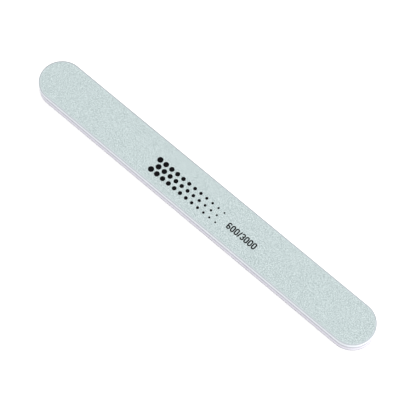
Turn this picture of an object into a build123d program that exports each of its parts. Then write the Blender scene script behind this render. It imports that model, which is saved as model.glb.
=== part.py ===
"""A double-sided sanding stick: a stiff board between two foam pads, faced with coarse and fine abrasive.

Millimetres. +X runs along the stick, +Y across it and +Z up, out of the coarse face.
The origin is the centre of the underside, which is the fine face that the stick rests on.
Every layer is one bonded sheet, die-cut with the others to the same round-ended outline.
"""

from build123d import *
import os

# Driving dimensions
LENGTH = 178.0
WIDTH = 19.0

# Layer thicknesses. They add up to the 6 mm of the finished stick.
COARSE_COAT = 0.10  # P600 grains, size coat and the pale green anti-clog coat over them
PAPER = 0.15  # latex-treated paper under the coarse coat
FILM = 0.25  # polyester film under the fine coat
FINE_COAT = 0.10  # P3000 grains in a white size coat
FACE_TAPE = 0.05  # adhesive between an abrasive sheet and its foam pad
FOAM = 1.95
BOARD_TAPE = 0.10  # adhesive between a foam pad and the board
BOARD = 1.20  # stiff polystyrene board in the middle

# Foam springs out a little after the cut, so the board's stiff edge stands back from it.
BOARD_INSET = 0.15

# Printed marks on the coarse face. The ink soaks into the open coat and is level with it.
INK_DEPTH = 0.03
INK_STROKE = 0.56
DIGIT_HEIGHT = 2.50  # to the middle of the stroke, as are the widths
DIGIT_WIDTH = 1.22
DIGIT_ADVANCE = 2.00  # from one digit to the next
SLASH_ADVANCE = 1.25
SLASH_LEAN = 0.30  # how far the slash's ends stand from its middle
GRIT_LABEL = "600/3000"
LABEL_X = 22.5
LABEL_Y = -1.8

# A field of dots that shrink along the stick, from coarse to fine.
DOT_COLUMNS = 12
DOT_PITCH = 3.2
DOT_ROWS = 3
DOT_ROW_PITCH = 2.8
DOT_LARGEST = 2.6
DOT_SMALLEST = 0.8
DOTS_X = -24.6  # middle of the first column
DOTS_Y = -1.7  # middle row

# Layers from the underside up: node, thickness, inset from the outline
LAYERS = [
    ("fine_grit_coat", FINE_COAT, 0),
    ("fine_backing_film", FILM, 0),
    ("fine_face_adhesive", FACE_TAPE, 0),
    ("lower_foam_pad", FOAM, 0),
    ("lower_board_adhesive", BOARD_TAPE, BOARD_INSET),
    ("core_board", BOARD, BOARD_INSET),
    ("upper_board_adhesive", BOARD_TAPE, BOARD_INSET),
    ("upper_foam_pad", FOAM, 0),
    ("coarse_face_adhesive", FACE_TAPE, 0),
    ("coarse_backing_paper", PAPER, 0),
    ("coarse_grit_coat", COARSE_COAT, 0),
]
THICKNESS = sum(thickness for _, thickness, _ in LAYERS)


def outline(inset):
    """The stick's outline seen from above: straight sides and half-round ends."""
    return SlotOverall(LENGTH - 2 * inset, WIDTH - 2 * inset)


def layer(base, thickness, inset):
    """One sheet of the stick, from base up."""
    return extrude(Pos(0, 0, base) * outline(inset), thickness)


def bar(x0, y0, x1, y1):
    """A straight stroke between two points, with round ends."""
    middle, end = Vector((x0 + x1) / 2, (y0 + y1) / 2), Vector(x1, y1)
    return SlotCenterPoint(middle, end, INK_STROKE)


def bend(x, y, radius, start, sweep):
    """A circular stroke about a point, from an angle in degrees through a sweep, with round ends."""
    outer = CenterArc((x, y), radius + INK_STROKE / 2, start, sweep)
    inner = CenterArc((x, y), radius - INK_STROKE / 2, start, sweep)
    band = make_face([outer, Line(outer @ 1, inner @ 1), inner, Line(inner @ 0, outer @ 0)])
    tips = [Pos((outer @ end + inner @ end) / 2) * Circle(INK_STROKE / 2) for end in (0, 1)]
    return band + tips


def zero():
    middle = Pos(0, DIGIT_HEIGHT / 2) * Rot(0, 0, 90)
    outer = SlotOverall(DIGIT_HEIGHT + INK_STROKE, DIGIT_WIDTH + INK_STROKE)
    inner = SlotOverall(DIGIT_HEIGHT - INK_STROKE, DIGIT_WIDTH - INK_STROKE)
    return middle * (outer - inner)


def six():
    """A round bowl with a stem that curls over it."""
    half_w, high = DIGIT_WIDTH / 2, DIGIT_HEIGHT - DIGIT_WIDTH / 2
    bowl = Circle(half_w + INK_STROKE / 2) - Circle(half_w - INK_STROKE / 2)
    stem = bar(-half_w, half_w, -half_w, high) + bend(0, high, half_w, 30, 150)
    return Pos(0, half_w) * bowl + stem


def three():
    """Two open bowls, one above the other."""
    bowl = DIGIT_HEIGHT / 4
    return bend(0, 3 * bowl, bowl, -90, 240) + bend(0, bowl, bowl, -150, 240)


def slash():
    return bar(-SLASH_LEAN, 0, SLASH_LEAN, DIGIT_HEIGHT)


# How to draw each character, and the room that it takes along the line
GLYPHS = {
    "0": (zero, DIGIT_ADVANCE),
    "3": (three, DIGIT_ADVANCE),
    "6": (six, DIGIT_ADVANCE),
    "/": (slash, SLASH_ADVANCE),
}


def label():
    """The two grit numbers, centred on LABEL_X and LABEL_Y."""
    x = LABEL_X - sum(GLYPHS[character][1] for character in GRIT_LABEL) / 2
    bottom = LABEL_Y - DIGIT_HEIGHT / 2
    found = []
    for character in GRIT_LABEL:
        draw, advance = GLYPHS[character]
        found.append(Pos(x + advance / 2, bottom) * draw())
        x += advance
    return found


def dots():
    """Columns of dots from coarse to fine. Every other row is half a column further on."""
    found = []
    for row in range(DOT_ROWS):
        shift = 0.5 * (row % 2)
        y = DOTS_Y + DOT_ROW_PITCH * (row - (DOT_ROWS - 1) / 2)
        for column in range(DOT_COLUMNS - row % 2):
            along = (column + shift) / (DOT_COLUMNS - 1)
            diameter = DOT_LARGEST + (DOT_SMALLEST - DOT_LARGEST) * along
            x = DOTS_X + DOT_PITCH * (column + shift)
            found.append(Pos(x, y) * Circle(diameter / 2))
    return found


def printed_marks():
    """The ink, as one flat solid for each dot and character, level with the coarse face."""
    shapes = label() + dots()
    base = THICKNESS - INK_DEPTH
    return [extrude(Pos(0, 0, base) * shape, INK_DEPTH) for shape in shapes]


def main():
    os.makedirs("parts", exist_ok=True)
    ink = Compound(children=[solid for mark in printed_marks() for solid in mark.solids()])
    export_step(ink, "parts/printed_marks.step")
    base = 0.0
    for node, thickness, inset in LAYERS:
        sheet = layer(base, thickness, inset)
        if node == "coarse_grit_coat":
            sheet = sheet - ink.solids()
        export_step(sheet, f"parts/{node}.step")
        base += thickness
    print(f"thickness {THICKNESS:.2f} mm, {len(LAYERS) + 1} nodes, {len(ink.solids())} ink solids")


main()
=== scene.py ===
"""The looks of a double-sided sanding stick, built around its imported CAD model.

Metres, in the row's frame: +X along the stick, +Y across it, +Z up out of the coarse face, which is on top.
The stick's underside is at zero.
The two abrasive coats and the two foam pads get meshes of their own. The other layers keep their CAD shape.
"""

import math

import bmesh
import bpy
import numpy as np
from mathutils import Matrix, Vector, noise


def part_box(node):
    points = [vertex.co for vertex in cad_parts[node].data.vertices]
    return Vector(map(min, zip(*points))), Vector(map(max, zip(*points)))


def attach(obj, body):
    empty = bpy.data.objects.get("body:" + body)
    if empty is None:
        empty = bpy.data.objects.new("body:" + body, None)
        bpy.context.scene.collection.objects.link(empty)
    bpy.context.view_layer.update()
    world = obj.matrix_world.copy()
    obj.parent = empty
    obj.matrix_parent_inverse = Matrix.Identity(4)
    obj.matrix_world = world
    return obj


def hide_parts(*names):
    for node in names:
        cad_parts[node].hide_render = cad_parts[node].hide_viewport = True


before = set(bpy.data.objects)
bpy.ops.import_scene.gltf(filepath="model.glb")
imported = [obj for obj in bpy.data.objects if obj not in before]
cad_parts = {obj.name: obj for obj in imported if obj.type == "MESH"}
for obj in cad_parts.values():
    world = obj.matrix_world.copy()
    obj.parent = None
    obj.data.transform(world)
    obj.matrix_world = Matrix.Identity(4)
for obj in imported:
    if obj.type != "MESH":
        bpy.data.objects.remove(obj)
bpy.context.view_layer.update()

MM = 0.001
BODY = "root"

# The outline that every layer was cut to: half-round ends about the ends of a straight middle
OUTLINE_LOW, OUTLINE_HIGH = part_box("coarse_grit_coat")
RADIUS = (OUTLINE_HIGH.y - OUTLINE_LOW.y) / 2
HALF_STRAIGHT = (OUTLINE_HIGH.x - OUTLINE_LOW.x) / 2 - RADIUS

# Abrasive coats
COAT_PITCH = 0.35 * MM
COAT_SINK = 0.004 * MM  # least depth of the grain's peaks below the ink
COARSE_RELIEF = 0.012 * MM
FINE_RELIEF = 0.006 * MM
RELIEF_SIZE = 1.1 * MM
RELIEF_FRACTAL = (0.8, 2.0, 3)  # the noise's H, lacunarity and octaves
RELIEF_CONTRAST = 0.6
COARSE_SEED, FINE_SEED = 3.0, 11.0
ROLL_WIDTH = 0.40 * MM  # where the die's knife bent the edge down as it cut
ROLL_DEPTH = 0.04 * MM
ROLL_RINGS = 7
RIM_SHADE_LEAN = 0.06  # for the rim's painted shade: how much further behind a point counts for each metre that it lies to the left
RIM_SHADE_START = -0.6 * RADIUS  # a point that counts as no further behind than this gets no painted shade, so its rim stays pale

# Foam pads
FOAM_PITCH = 0.10 * MM
FOAM_DISH = 0.07 * MM  # how far the wall draws in, midway between its sheets
CELL_SIZE = 0.28 * MM
CELL_DEPTH = 0.045 * MM
CELL_WALL = 0.625  # how wide a cell's sloping walls are, as a share of its size
FOAM_SEED = 20.0  # the lower pad's; the upper one's is zero
# Fitted to the two bands of the wall, the tints are painted light and shade: the upper pad lighter and
# bluer, the lower one darker and mauver. Both pads are probably the same foam, lit unevenly.
FOAM_SHADE_TINTS = {"upper_foam": (0.92, 0.965, 1.0), "lower_foam": (0.90, 0.885, 0.96)}

SAME_POINT = 1e-4 * MM  # points of a mesh that are closer than this are joined

# Camera: it looks at AIM, from an azimuth and an elevation in degrees
AIM = Vector((-2.36, 0.69, 0)) * MM
AZIMUTH, ELEVATION = 42.32, 65.7
DISTANCE = 0.8155  # from AIM
LENS, SENSOR = 180, 36  # millimetres of the camera itself

# Table and light
TABLE_SIZE = 6.0
TABLE_DROP = 0.06 * MM  # keeps the table's face clear of the stick's
TABLE_COLOUR = (0.88, 0.88, 0.88)
TABLE_GLOW = 0.34
KEY_AZIMUTH, KEY_ELEVATION = 108, 14
KEY_DISTANCE = 4.0
KEY_SIZE = 1.9
KEY_POWER = 70

WHITE = (1, 1, 1, 1)


# Meshes


def spine(pitch):
    """What stands behind each point of the outline, anticlockwise from above, as three arrays.

    They are the X of the nearest point of the centreline and the direction out from there, so a ring of
    radius r is (x + r * out_x, r * out_y).
    """
    side_steps = round(2 * HALF_STRAIGHT / pitch)
    end_steps = round(math.pi * RADIUS / pitch)
    side = np.linspace(-HALF_STRAIGHT, HALF_STRAIGHT, side_steps, endpoint=False)
    turn = np.linspace(-math.pi / 2, math.pi / 2, end_steps, endpoint=False)
    straight, end = np.full(side_steps, math.pi / 2), np.full(end_steps, HALF_STRAIGHT)
    x = np.concatenate([side, end, -side, -end])
    angle = np.concatenate([-straight, turn, straight, turn + math.pi])
    return x, np.cos(angle), np.sin(angle)


def rings(pitch, profile):
    """Points of a round-ended sheet, one ring for each (inset from the outline, z) of the profile."""
    x, out_x, out_y = spine(pitch)
    points = np.empty((len(profile), len(x), 3))
    for ring, (inset, z) in zip(points, profile):
        ring[:, 0] = x + (RADIUS - inset) * out_x
        ring[:, 1] = (RADIUS - inset) * out_y
        ring[:, 2] = z
    return points


def closed_mesh(name, points, insets):
    """A mesh of quads between neighbouring rings, whose first and last rings close up on the centreline.

    Its "rim" attribute holds how far each ring is from the cut edge, in millimetres.
    """
    ring_count, around = points.shape[:2]
    index = np.arange(ring_count * around).reshape(ring_count, around)
    onward = np.roll(index, -1, axis=1)
    quads = np.stack([index[:-1], onward[:-1], onward[1:], index[1:]], axis=-1).reshape(-1, 4)
    mesh = bpy.data.meshes.new(name)
    mesh.from_pydata(points.reshape(-1, 3).tolist(), [], quads.tolist())
    rim = mesh.attributes.new("rim", "FLOAT", "POINT")
    rim.data.foreach_set("value", np.repeat(insets, around) / MM)
    close_up(mesh)
    mesh.shade_smooth()
    piece = bpy.data.objects.new(name, mesh)
    bpy.context.scene.collection.objects.link(piece)
    return piece


def close_up(mesh):
    """Joins the points that meet on the centreline, and turns every face outwards."""
    edit = bmesh.new()
    edit.from_mesh(mesh)
    bmesh.ops.remove_doubles(edit, verts=edit.verts, dist=SAME_POINT)
    bmesh.ops.recalc_face_normals(edit, faces=edit.faces)
    edit.to_mesh(mesh)
    edit.free()


def relief(points, seed):
    """Smooth noise from 0 to 1 at each point, with bumps of about RELIEF_SIZE."""
    shift = Vector((seed, 0, 0))
    spots = [Vector(point) / RELIEF_SIZE + shift for point in points.reshape(-1, 3)]
    values = np.array([noise.fractal(spot, *RELIEF_FRACTAL) for spot in spots])
    return np.clip(0.5 + RELIEF_CONTRAST * values.reshape(points.shape[:-1]), 0, 1)


def coat_piece(name, face_z, back_z, depth, sink, seed):
    """An abrasive coat: a thin sheet with grain on its face and an edge that the cut rolled over."""
    inward = math.copysign(1, back_z - face_z)
    middle = np.arange(RADIUS, ROLL_WIDTH, -COAT_PITCH)
    edge = ROLL_WIDTH * np.linspace(1, 0, ROLL_RINGS)
    face_insets = np.concatenate([middle, edge])
    roll = ROLL_DEPTH * np.clip(1 - face_insets / ROLL_WIDTH, 0, 1) ** 2
    face = list(zip(face_insets, face_z + inward * (sink + roll)))
    points = rings(COAT_PITCH, face + [(0, back_z), (RADIUS, back_z)])
    calm = np.clip(face_insets / ROLL_WIDTH, 0, 1)[:, None]
    grain = relief(points[: len(face)], seed)
    points[: len(face), :, 2] += inward * depth * grain * calm
    return closed_mesh(name, points, np.append(face_insets, [0, RADIUS]))


def foam_piece(name, low_z, high_z, seed):
    """A foam pad: its cut wall is dished a little and pitted where the knife opened its cells."""
    rows = round((high_z - low_z) / FOAM_PITCH)
    across = np.linspace(1, -1, rows + 1)
    dish = FOAM_DISH * (1 - across**2)
    wall = list(zip(dish, (high_z + low_z) / 2 + across * (high_z - low_z) / 2))
    points = rings(FOAM_PITCH, [(RADIUS, high_z)] + wall + [(RADIUS, low_z)])
    _, out_x, out_y = spine(FOAM_PITCH)
    for ring in points[2:-2]:  # the wall, but for the two rings that meet the sheets
        pits = np.array([cell_pit(point, seed) for point in ring])
        ring[:, 0] -= CELL_DEPTH * pits * out_x
        ring[:, 1] -= CELL_DEPTH * pits * out_y
    return closed_mesh(name, points, np.concatenate([[RADIUS], dish, [RADIUS]]))


def cell_pit(point, seed):
    """How deep an opened foam cell is at a point: 1 at its middle and 0 on the walls between cells."""
    distances, _ = noise.voronoi(Vector(point) / CELL_SIZE + Vector((seed, 0, 0)))
    return min(1, (distances[1] - distances[0]) / CELL_WALL)


# Materials

# The sockets of a Mix node that hold its factor and its two colours, and its mixed colour
MIX_INPUTS = (0, 6, 7)
MIX_RESULT = 2


def node(tree, kind, inputs=None, **settings):
    """A new shader node. An input is a number, a colour, or the output socket that feeds it."""
    made = tree.nodes.new("ShaderNode" + kind)
    for key, value in settings.items():
        setattr(made, key, value)
    for key, value in (inputs or {}).items():
        if isinstance(value, bpy.types.NodeSocket):
            tree.links.new(value, made.inputs[key])
        else:
            made.inputs[key].default_value = value
    return made


def position(tree):
    """Where a point is, in metres in the stick's own frame."""
    return node(tree, "TexCoord").outputs["Object"]


def grain_noise(tree, size, detail=2.0, roughness=0.5, stretch=(1, 1, 1)):
    """Noise with features of about that size in metres, or longer along an axis by its stretch."""
    scale = [1 / (size * factor) for factor in stretch]
    spread = node(tree, "Mapping", {"Vector": position(tree), "Scale": scale}).outputs["Vector"]
    inputs = {"Vector": spread, "Scale": 1.0, "Detail": detail, "Roughness": roughness}
    return node(tree, "TexNoise", inputs).outputs[0]


def cells(tree, size, feature="DISTANCE_TO_EDGE"):
    """Voronoi cells of about that size in metres: the distance to their walls, or to their middles."""
    inputs = {"Vector": position(tree), "Scale": 1 / size}
    return node(tree, "TexVoronoi", inputs, feature=feature).outputs["Distance"]


def remap(tree, value, low, high, to_low=0.0, to_high=1.0):
    """The value, taken from one range to another and held inside it."""
    inputs = {"Value": value, "From Min": low, "From Max": high, "To Min": to_low, "To Max": to_high}
    return node(tree, "MapRange", inputs).outputs["Result"]


def with_alpha(value):
    """A colour with its alpha, or a socket as it is."""
    return value if isinstance(value, bpy.types.NodeSocket) else (*value, 1)


def mixed(tree, factor, first, second, blend_type="MIX"):
    """Two colours mixed by a factor. Each of the three may be a socket."""
    inputs = dict(zip(MIX_INPUTS, (factor, with_alpha(first), with_alpha(second))))
    return node(tree, "Mix", inputs, data_type="RGBA", blend_type=blend_type).outputs[MIX_RESULT]


def new_material(name, roughness=0.8, specular=0.3):
    """A material with only its Principled shader, as (material, tree, shader)."""
    made = bpy.data.materials.new(name)
    made.use_nodes = True
    shader = made.node_tree.nodes["Principled BSDF"]
    shader.inputs["Roughness"].default_value = roughness
    shader.inputs["Specular IOR Level"].default_value = specular
    return made, made.node_tree, shader


def bump(tree, height, distance, under=None):
    """The normal of a surface raised by a height from 0 to 1, times a distance, over an earlier bump."""
    inputs = {"Height": height, "Distance": distance}
    if under:
        inputs["Normal"] = under
    return node(tree, "Bump", inputs).outputs["Normal"]


def set_bump(tree, shader, height, distance, under=None):
    """Gives the shader that normal."""
    tree.links.new(bump(tree, height, distance, under), shader.inputs["Normal"])


def rim_distance(tree):
    """How far a point of a coat is from its cut edge, in millimetres."""
    return node(tree, "Attribute", attribute_name="rim").outputs["Fac"]


def rim_mask(tree, fades, full=0.0):
    """1 on the cut edge of a coat, and 0 beyond where it fades, in millimetres from the edge."""
    return remap(tree, rim_distance(tree), fades, full)


def painted_rim_shade(tree):
    """From 0 on the stick's front rim to 1 on its back rim and left-hand end, which get painted shade.

    The shade is fitted to the reference view, because the light here doesn't give it. Its cause isn't known.
    It is painted shade of the rolled rim turning away from the light.
    """
    inputs = {0: position(tree), 1: (-RIM_SHADE_LEAN, 1, 0)}
    behind = node(tree, "VectorMath", inputs, operation="DOT_PRODUCT").outputs["Value"]
    return remap(tree, behind, RIM_SHADE_START, RADIUS)


def coarse_material():
    """Pale green anti-clog coat over P600 grains: mottled, and whiter beside the edge that rolled down."""
    made, tree, shader = new_material("coarse_abrasive_coat", roughness=0.88, specular=0.2)
    clump = grain_noise(tree, 0.33 * MM, detail=4, roughness=0.65)
    fine = grain_noise(tree, 0.15 * MM, detail=3, roughness=0.6)
    grains = cells(tree, 0.13 * MM, "F1")
    cloud = grain_noise(tree, 9 * MM, detail=3)
    colour = mixed(tree, remap(tree, clump, 0.39, 0.61), (0.27, 0.35, 0.35), (0.86, 0.96, 0.96))
    colour = mixed(tree, remap(tree, fine, 0.56, 0.70, 0, 0.75), colour, (0.34, 0.41, 0.41))
    colour = mixed(tree, remap(tree, fine, 0.44, 0.30, 0, 0.75), colour, (0.86, 0.96, 0.96))
    colour = mixed(tree, remap(tree, grains, 0.40, 0.80, 0, 0.45), colour, (0.36, 0.43, 0.44))
    colour = mixed(tree, remap(tree, grains, 0.30, 0.05, 0, 0.5), colour, (0.90, 0.98, 0.98))
    colour = mixed(tree, remap(tree, cloud, 0.4, 0.7, 0, 0.12), colour, (0.56, 0.63, 0.65))
    colour = mixed(tree, remap(tree, rim_distance(tree), 1.0, 0.3, 0, 0.6), colour, (0.60, 0.66, 0.69))
    # the cut edge's own grey at the front, deepened by painted shade towards the back rim and left-hand end
    rim = mixed(tree, painted_rim_shade(tree), (0.50, 0.54, 0.57), (0.20, 0.23, 0.24))
    colour = mixed(tree, rim_mask(tree, 0.33, 0.18), colour, rim)
    tree.links.new(colour, shader.inputs["Base Color"])
    rolled = remap(tree, rim_distance(tree), 0.0, ROLL_WIDTH / MM)
    set_bump(tree, shader, fine, 0.02 * MM, under=bump(tree, rolled, 0.05 * MM))
    return made


def ink_material():
    """Black ink with the tips of the grains showing through it in places."""
    made, tree, shader = new_material("black_printing_ink", roughness=0.75, specular=0.06)
    fine = grain_noise(tree, 0.13 * MM, detail=3, roughness=0.6)
    worn = remap(tree, fine, 0.66, 0.78, 0, 0.3)
    colour = mixed(tree, worn, (0.004, 0.004, 0.005), (0.16, 0.18, 0.18))
    tree.links.new(colour, shader.inputs["Base Color"])
    set_bump(tree, shader, fine, 0.015 * MM)
    return made


def paper_material():
    """The cut edge of latex paper: off-white, with short fibres along the sheet."""
    made, tree, shader = new_material("backing_paper", roughness=0.92, specular=0.2)
    fibres = grain_noise(tree, 0.06 * MM, detail=3, stretch=(9, 9, 1))
    colour = mixed(tree, remap(tree, fibres, 0.35, 0.65), (0.60, 0.62, 0.67), (0.73, 0.75, 0.80))
    tree.links.new(colour, shader.inputs["Base Color"])
    set_bump(tree, shader, fibres, 0.02 * MM)
    return made


def adhesive_material():
    """The cut edge of clear tape: greyer than what it joins, with dust held on it."""
    made, tree, shader = new_material("clear_adhesive", roughness=0.45, specular=0.4)
    dust = grain_noise(tree, 0.25 * MM, detail=3, stretch=(3, 3, 1))
    colour = mixed(tree, remap(tree, dust, 0.4, 0.65), (0.50, 0.49, 0.55), (0.64, 0.63, 0.69))
    tree.links.new(colour, shader.inputs["Base Color"])
    set_bump(tree, shader, dust, 0.01 * MM)
    return made


def foam_material(name, shade_tint):
    """Closed-cell foam, white but for a tint of painted light and shade: pale cell walls round opened cells
    darkened with painted shade.
    """
    made, tree, shader = new_material(name, roughness=0.85, specular=0.25)
    walls = cells(tree, CELL_SIZE)
    small = cells(tree, 0.12 * MM)
    cloud = grain_noise(tree, 4 * MM, detail=2)
    # painted shade in the opened cells
    colour = mixed(tree, remap(tree, walls, 0.02, 0.22), (0.95, 0.95, 0.95), (0.81, 0.81, 0.82))
    colour = mixed(tree, remap(tree, small, 0.0, 0.3, 0.35, 0.0), colour, (0.96, 0.96, 0.96))
    colour = mixed(tree, remap(tree, cloud, 0.4, 0.65, 0, 0.35), colour, (0.88, 0.86, 0.89))
    # the tint paints this pad's band of light or shade on the wall
    colour = mixed(tree, 1.0, colour, shade_tint, "MULTIPLY")
    tree.links.new(colour, shader.inputs["Base Color"])
    set_bump(tree, shader, small, 0.012 * MM)
    return made


def board_material():
    """The cut edge of polystyrene board, drawn greyer than the foam as painted shade for the dark line
    between the pads, with faint upright marks of the knife.
    """
    made, tree, shader = new_material("white_board", roughness=0.55, specular=0.4)
    scores = grain_noise(tree, 0.12 * MM, detail=3, stretch=(1, 1, 12))
    cloud = grain_noise(tree, 3 * MM)
    # painted shade: the board's edge drawn grey for the dark line between the pads
    colour = mixed(tree, remap(tree, scores, 0.35, 0.65), (0.49, 0.49, 0.56), (0.58, 0.58, 0.64))
    colour = mixed(tree, remap(tree, cloud, 0.4, 0.65, 0, 0.4), colour, (0.61, 0.60, 0.66))
    tree.links.new(colour, shader.inputs["Base Color"])
    set_bump(tree, shader, scores, 0.01 * MM)
    return made


def film_material():
    """The cut edge of polyester film, drawn dark as painted contact shadow to give the thin grey line low on
    the wall.

    The dark stands in for the contact shadow that the table's glow hides. How much of that line is the
    film's own edge isn't known.
    """
    made, tree, shader = new_material("backing_film", roughness=0.35, specular=0.5)
    marks = grain_noise(tree, 0.05 * MM, detail=2, stretch=(20, 20, 1))
    # painted contact shadow: the film's cut edge drawn dark grey
    colour = mixed(tree, remap(tree, marks, 0.35, 0.65), (0.15, 0.15, 0.18), (0.22, 0.21, 0.25))
    tree.links.new(colour, shader.inputs["Base Color"])
    set_bump(tree, shader, marks, 0.005 * MM)
    return made


def fine_material():
    """White P3000 coat, a guess, as this face isn't seen: smoother than the coarse one, with faint lanes.

    Its cut edge is drawn as dark as the film's, as painted contact shadow for the same line.
    """
    made, tree, shader = new_material("fine_abrasive_coat", specular=0.4)
    fine = grain_noise(tree, 0.10 * MM, detail=2)
    lanes = grain_noise(tree, 0.8 * MM, detail=3, stretch=(25, 1, 1))
    colour = mixed(tree, remap(tree, fine, 0.35, 0.65), (0.66, 0.67, 0.70), (0.74, 0.75, 0.77))
    colour = mixed(tree, remap(tree, lanes, 0.45, 0.65, 0, 0.4), colour, (0.69, 0.69, 0.73))
    # painted contact shadow on the coat's cut edge
    colour = mixed(tree, rim_mask(tree, 0.3), colour, (0.22, 0.22, 0.25))
    tree.links.new(colour, shader.inputs["Base Color"])
    tree.links.new(remap(tree, lanes, 0.3, 0.7, 0.42, 0.55), shader.inputs["Roughness"])
    set_bump(tree, shader, fine, 0.006 * MM)
    return made


# Pieces


def place(piece, material, replaced):
    """Gives a new piece its material, says what it rides on, and hides the CAD node that it stands in for.
    """
    piece.data.materials.append(material)
    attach(piece, BODY)
    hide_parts(replaced)


def make_coats():
    low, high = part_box("coarse_grit_coat")
    coarse = coat_piece("coarse_coat", high.z, low.z, COARSE_RELIEF, sink=COAT_SINK, seed=COARSE_SEED)
    place(coarse, coarse_material(), "coarse_grit_coat")
    low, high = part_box("fine_grit_coat")
    fine = coat_piece("fine_coat", low.z, high.z, FINE_RELIEF, sink=0, seed=FINE_SEED)
    place(fine, fine_material(), "fine_grit_coat")


def make_foam():
    for number, (name, shade_tint) in enumerate(FOAM_SHADE_TINTS.items()):
        low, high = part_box(name + "_pad")
        pad = foam_piece(name + "_layer", low.z, high.z, FOAM_SEED * number)
        place(pad, foam_material("white_" + name, shade_tint), name + "_pad")


def dress_cad_layers():
    """Gives the layers that keep their CAD shape their materials."""
    adhesive = adhesive_material()
    made = {
        "printed_marks": ink_material(),
        "coarse_backing_paper": paper_material(),
        "coarse_face_adhesive": adhesive,
        "upper_board_adhesive": adhesive,
        "core_board": board_material(),
        "lower_board_adhesive": adhesive,
        "fine_face_adhesive": adhesive,
        "fine_backing_film": film_material(),
    }
    for name, material in made.items():
        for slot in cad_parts[name].material_slots:
            slot.material = material


# Stage


def direction(azimuth, elevation):
    """From the object towards a viewpoint. Azimuth 0 is in front, where +X is to the right."""
    turn, lift = math.radians(azimuth), math.radians(elevation)
    across = math.cos(lift)
    return Vector((math.sin(turn) * across, -math.cos(turn) * across, math.sin(lift)))


def stand_facing(thing, aim, azimuth, elevation, distance):
    """Puts a camera or a lamp where it looks at its aim from that direction and distance."""
    back = direction(azimuth, elevation)
    thing.location = aim + distance * back
    thing.rotation_mode = "QUATERNION"
    thing.rotation_quaternion = (-back).to_track_quat("-Z", "Y")
    bpy.context.scene.collection.objects.link(thing)


def make_camera():
    data = bpy.data.cameras.new("camera")
    data.lens = LENS
    data.sensor_width = SENSOR
    data.clip_start = 0.01
    camera = bpy.data.objects.new("camera", data)
    stand_facing(camera, AIM, AZIMUTH, ELEVATION, DISTANCE)
    bpy.context.scene.camera = camera


def table_material():
    """Matt white. To the camera it glows a little, so it is white right up to the stick."""
    made, tree, shader = new_material("white_table", roughness=0.9, specular=0.1)
    shader.inputs["Base Color"].default_value = (*TABLE_COLOUR, 1)
    shader.inputs["Emission Color"].default_value = WHITE
    seen = node(tree, "LightPath").outputs["Is Camera Ray"]
    glow = node(tree, "Math", {0: seen, 1: TABLE_GLOW}, operation="MULTIPLY").outputs["Value"]
    tree.links.new(glow, shader.inputs["Emission Strength"])
    return made


def make_table():
    """A flat white table just under the stick."""
    half = TABLE_SIZE / 2
    corners = [(-half, -half), (half, -half), (half, half), (-half, half)]
    mesh = bpy.data.meshes.new("floor")
    mesh.from_pydata([(x, y, -TABLE_DROP) for x, y in corners], [], [(0, 1, 2, 3)])
    mesh.materials.append(table_material())
    floor = bpy.data.objects.new("floor", mesh)
    bpy.context.scene.collection.objects.link(floor)


def make_room():
    """Even white light from all round."""
    world = bpy.data.worlds.new("studio")
    world.use_nodes = True
    world.node_tree.nodes["Background"].inputs["Color"].default_value = WHITE
    bpy.context.scene.world = world


def make_key_light():
    """A low soft box off the stick's right-hand end, a little behind it."""
    data = bpy.data.lights.new("key_box", "AREA")
    data.size = KEY_SIZE
    data.energy = KEY_POWER
    key = bpy.data.objects.new("key_box", data)
    stand_facing(key, Vector(), KEY_AZIMUTH, KEY_ELEVATION, KEY_DISTANCE)


make_camera()
make_coats()
make_foam()
dress_cad_layers()
make_table()
make_room()
make_key_light()
bpy.context.scene.view_settings.view_transform = "Standard"
